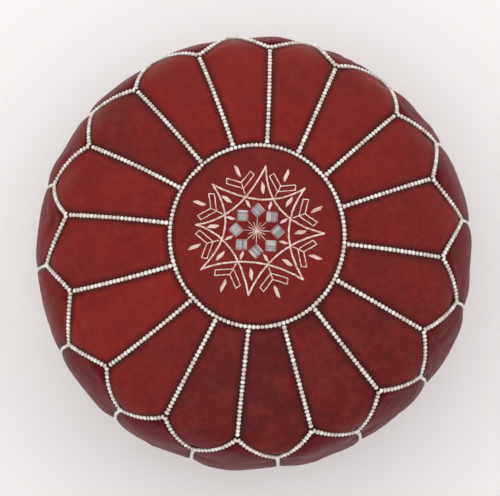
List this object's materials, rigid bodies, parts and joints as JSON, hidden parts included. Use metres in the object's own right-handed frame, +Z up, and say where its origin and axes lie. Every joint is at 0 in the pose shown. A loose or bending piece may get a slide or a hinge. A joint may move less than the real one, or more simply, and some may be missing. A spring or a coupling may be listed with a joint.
{
  "type": "moroccan leather pouf",
  "caption": "Round Moroccan floor pouf in oxblood goatskin, with petal panels, thick cream seam stitching, a star embroidered on the top and a zip underneath.",
  "frame": {"origin": "on the floor, in the middle of the pouf's footprint", "axes": "+Z up; +X along the zip under the base, towards the end where it is closed; -Y towards the person who faces the pouf"},
  "size_m": [0.5322, 0.5322, 0.3329],
  "materials": {
    "goatskin": "satin",
    "seam_thread": "matte",
    "embroidery_thread": "matte",
    "silver_thread": "matte",
    "base_leather": "matte",
    "zip_tape": "matte",
    "zip_brass": "satin",
    "lining_cotton": "matte",
    "wadding": "matte"
  },
  "bodies": {
    "pouf": {"medallion": "goatskin", "petal_01": "goatskin", "petal_02": "goatskin", "petal_03": "goatskin", "petal_04": "goatskin", "petal_05": "goatskin", "petal_06": "goatskin", "petal_07": "goatskin", "petal_08": "goatskin", "petal_09": "goatskin", "petal_10": "goatskin", "petal_11": "goatskin", "petal_12": "goatskin", "petal_13": "goatskin", "petal_14": "goatskin", "petal_15": "goatskin", "petal_16": "goatskin", "side_panel_01": "goatskin", "side_panel_02": "goatskin", "side_panel_03": "goatskin", "side_panel_04": "goatskin", "side_panel_05": "goatskin", "side_panel_06": "goatskin", "side_panel_07": "goatskin", "side_panel_08": "goatskin", "side_panel_09": "goatskin", "side_panel_10": "goatskin", "side_panel_11": "goatskin", "side_panel_12": "goatskin", "side_panel_13": "goatskin", "side_panel_14": "goatskin", "side_panel_15": "goatskin", "side_panel_16": "goatskin", "medallion_seam": "seam_thread", "petal_seams": "seam_thread", "scallop_seam": "seam_thread", "side_seams": "seam_thread", "base_seam": "seam_thread", "star": "embroidery_thread", "point_leaves": "embroidery_thread", "waist_leaves": "embroidery_thread", "sprigs": "embroidery_thread", "sprig_leaves": "embroidery_thread", "rosette": "embroidery_thread", "lozenges": "silver_thread", "base_half_back": "base_leather", "base_half_front": "base_leather", "zip_tape_back": "zip_tape", "zip_tape_front": "zip_tape", "zip_teeth_back": "zip_brass", "zip_teeth_front": "zip_brass", "zip_stops": "zip_brass", "lining": "lining_cotton", "wadding": "wadding"},
    "slider": {"zip_slider": "zip_brass"},
    "pull": {"zip_pull": "zip_brass"}
  },
  "joints": [
    {"name": "zip_slide", "type": "slide", "parent": "pouf", "child": "slider", "axis": [-1, 0, 0], "range_m": [0, 0.272]},
    {"name": "pull_swing", "type": "hinge", "parent": "slider", "child": "pull", "pos_m": [0.136, 0, 0.00795], "axis": [0, -1, 0], "range_deg": [-15, 163]}
  ]
}
